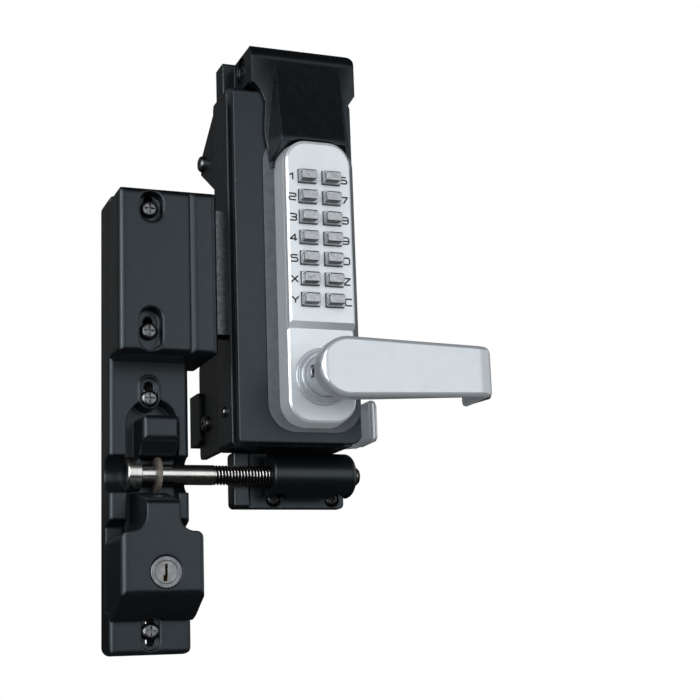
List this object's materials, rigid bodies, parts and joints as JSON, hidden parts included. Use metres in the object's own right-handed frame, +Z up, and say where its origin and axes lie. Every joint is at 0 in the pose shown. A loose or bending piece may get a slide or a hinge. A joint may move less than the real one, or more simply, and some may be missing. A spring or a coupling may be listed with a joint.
{
  "type": "keypad gate lock",
  "caption": "Surface-mounted mechanical keypad gate lock with levers on both sides, sprung latch and strike, keyed deadlock and a threaded locating pin.",
  "frame": {"origin": "axis of the lever spindle, in the plane where the gate half meets the gate and the post half meets the post", "axes": "+X along the gate face away from the post, +Y into the gate, +Z up; the keypad faces -Y"},
  "size_m": [0.212, 0.2243, 0.3697],
  "materials": {
    "black_casting": "satin black powder coat on zinc castings",
    "black_box": "satin black coat",
    "black_case": "satin black coat with a soft sheen",
    "black_sheet": "matt black coat on sheet steel",
    "dark_screw": "dark steel, bright in the cross recess",
    "socket_screw": "blackened steel",
    "nickel": "satin nickel plate",
    "brass": "plain brass",
    "zinc": "bright zinc plate",
    "stainless": "turned stainless steel",
    "spring_steel": "spring wire",
    "nylon": "cream nylon",
    "gasket": "dark grey rubber",
    "silver_paint": "fine metallic silver coat",
    "button": "satin nickel"
  },
  "bodies": {
    "lock": {"post_base": "black_casting", "post_screws": "dark_screw", "strike_box": "black_box", "strike_screws": "dark_screw", "strike_keeper": "black_box", "keeper_bolts": "socket_screw", "key_block": "black_casting", "key_block_screws": "socket_screw", "key_cylinder": "nickel", "barrel_block": "black_casting", "barrel_screws": "socket_screw", "gate_case": "black_case", "case_cover": "black_case", "mounting_plate": "black_sheet", "flange_screws": "dark_screw", "case_screw": "dark_screw", "hood": "black_casting", "hood_screw": "dark_screw", "gasket": "gasket", "keypad_case": "silver_paint", "code_chamber": "brass", "button_springs": "spring_steel", "lever_collar": "silver_paint", "bolt_guides": "zinc", "latch_spring": "spring_steel", "lever_spring": "spring_steel", "rear_backplate": "black_sheet", "rear_plate": "silver_paint", "rear_collar": "silver_paint", "through_bolts": "stainless"},
    "front_lever": {"front_lever": "silver_paint", "front_lever_screw": "socket_screw", "clutch_cam": "zinc"},
    "rear_lever": {"rear_lever": "silver_paint", "rear_lever_screw": "socket_screw", "spindle": "stainless", "latch_hub": "zinc"},
    "latch": {"latch_bolt": "zinc"},
    "plug": {"key_plug": "brass", "key_crank": "zinc"},
    "plunger": {"deadlock_plunger": "zinc"},
    "pin": {"locating_pin": "stainless", "pin_washer": "nylon"},
    "button_1": {"button_1": "button"},
    "button_2": {"button_2": "button"},
    "button_3": {"button_3": "button"},
    "button_4": {"button_4": "button"},
    "button_5": {"button_5": "button"},
    "button_x": {"button_x": "button"},
    "button_y": {"button_y": "button"},
    "button_6": {"button_6": "button"},
    "button_7": {"button_7": "button"},
    "button_8": {"button_8": "button"},
    "button_9": {"button_9": "button"},
    "button_0": {"button_0": "button"},
    "button_z": {"button_z": "button"},
    "button_c": {"button_c": "button"}
  },
  "joints": [
    {"name": "front_lever_turn", "type": "hinge", "parent": "lock", "child": "front_lever", "pos_m": [0, -0.0645, 0], "axis": [0, 1, 0], "range_deg": [0, 60], "stiffness_Nm_per_rad": 0.5},
    {"name": "rear_lever_turn", "type": "hinge", "parent": "lock", "child": "rear_lever", "pos_m": [0, 0.0763, 0], "axis": [0, 1, 0], "range_deg": [0, 60]},
    {"name": "latch_slide", "type": "slide", "parent": "lock", "child": "latch", "axis": [1, 0, 0], "range_m": [0, 0.012]},
    {"name": "key_plug_turn", "type": "hinge", "parent": "lock", "child": "plug", "pos_m": [-0.0933, -0.042, -0.1121], "axis": [0, 1, 0], "range_deg": [0, 90]},
    {"name": "plunger_rise", "type": "slide", "parent": "lock", "child": "plunger", "axis": [0, 0, 1], "range_m": [0, 0.01414]},
    {"name": "pin_adjust", "type": "slide", "parent": "lock", "child": "pin", "axis": [1, 0, 0], "range_m": [-0.003, 0.003]},
    {"name": "button_1_press", "type": "slide", "parent": "lock", "child": "button_1", "axis": [0, 1, 0], "range_m": [0, 0.002], "stiffness_N_per_m": 300},
    {"name": "button_2_press", "type": "slide", "parent": "lock", "child": "button_2", "axis": [0, 1, 0], "range_m": [0, 0.002], "stiffness_N_per_m": 300},
    {"name": "button_3_press", "type": "slide", "parent": "lock", "child": "button_3", "axis": [0, 1, 0], "range_m": [0, 0.002], "stiffness_N_per_m": 300},
    {"name": "button_4_press", "type": "slide", "parent": "lock", "child": "button_4", "axis": [0, 1, 0], "range_m": [0, 0.002], "stiffness_N_per_m": 300},
    {"name": "button_5_press", "type": "slide", "parent": "lock", "child": "button_5", "axis": [0, 1, 0], "range_m": [0, 0.002], "stiffness_N_per_m": 300},
    {"name": "button_x_press", "type": "slide", "parent": "lock", "child": "button_x", "axis": [0, 1, 0], "range_m": [0, 0.002], "stiffness_N_per_m": 300},
    {"name": "button_y_press", "type": "slide", "parent": "lock", "child": "button_y", "axis": [0, 1, 0], "range_m": [0, 0.002], "stiffness_N_per_m": 300},
    {"name": "button_6_press", "type": "slide", "parent": "lock", "child": "button_6", "axis": [0, 1, 0], "range_m": [0, 0.002], "stiffness_N_per_m": 300},
    {"name": "button_7_press", "type": "slide", "parent": "lock", "child": "button_7", "axis": [0, 1, 0], "range_m": [0, 0.002], "stiffness_N_per_m": 300},
    {"name": "button_8_press", "type": "slide", "parent": "lock", "child": "button_8", "axis": [0, 1, 0], "range_m": [0, 0.002], "stiffness_N_per_m": 300},
    {"name": "button_9_press", "type": "slide", "parent": "lock", "child": "button_9", "axis": [0, 1, 0], "range_m": [0, 0.002], "stiffness_N_per_m": 300},
    {"name": "button_0_press", "type": "slide", "parent": "lock", "child": "button_0", "axis": [0, 1, 0], "range_m": [0, 0.002], "stiffness_N_per_m": 300},
    {"name": "button_z_press", "type": "slide", "parent": "lock", "child": "button_z", "axis": [0, 1, 0], "range_m": [0, 0.002], "stiffness_N_per_m": 300},
    {"name": "button_c_press", "type": "slide", "parent": "lock", "child": "button_c", "axis": [0, 1, 0], "range_m": [0, 0.002], "stiffness_N_per_m": 300}
  ],
  "couplings": [
    {"joint": "rear_lever_turn", "follows": "front_lever_turn", "ratio": 1},
    {"joint": "latch_slide", "follows": "front_lever_turn", "m_per_rad": 0.011459},
    {"joint": "key_plug_turn", "follows": "plunger_rise", "rad_per_m": 111.07}
  ]
}
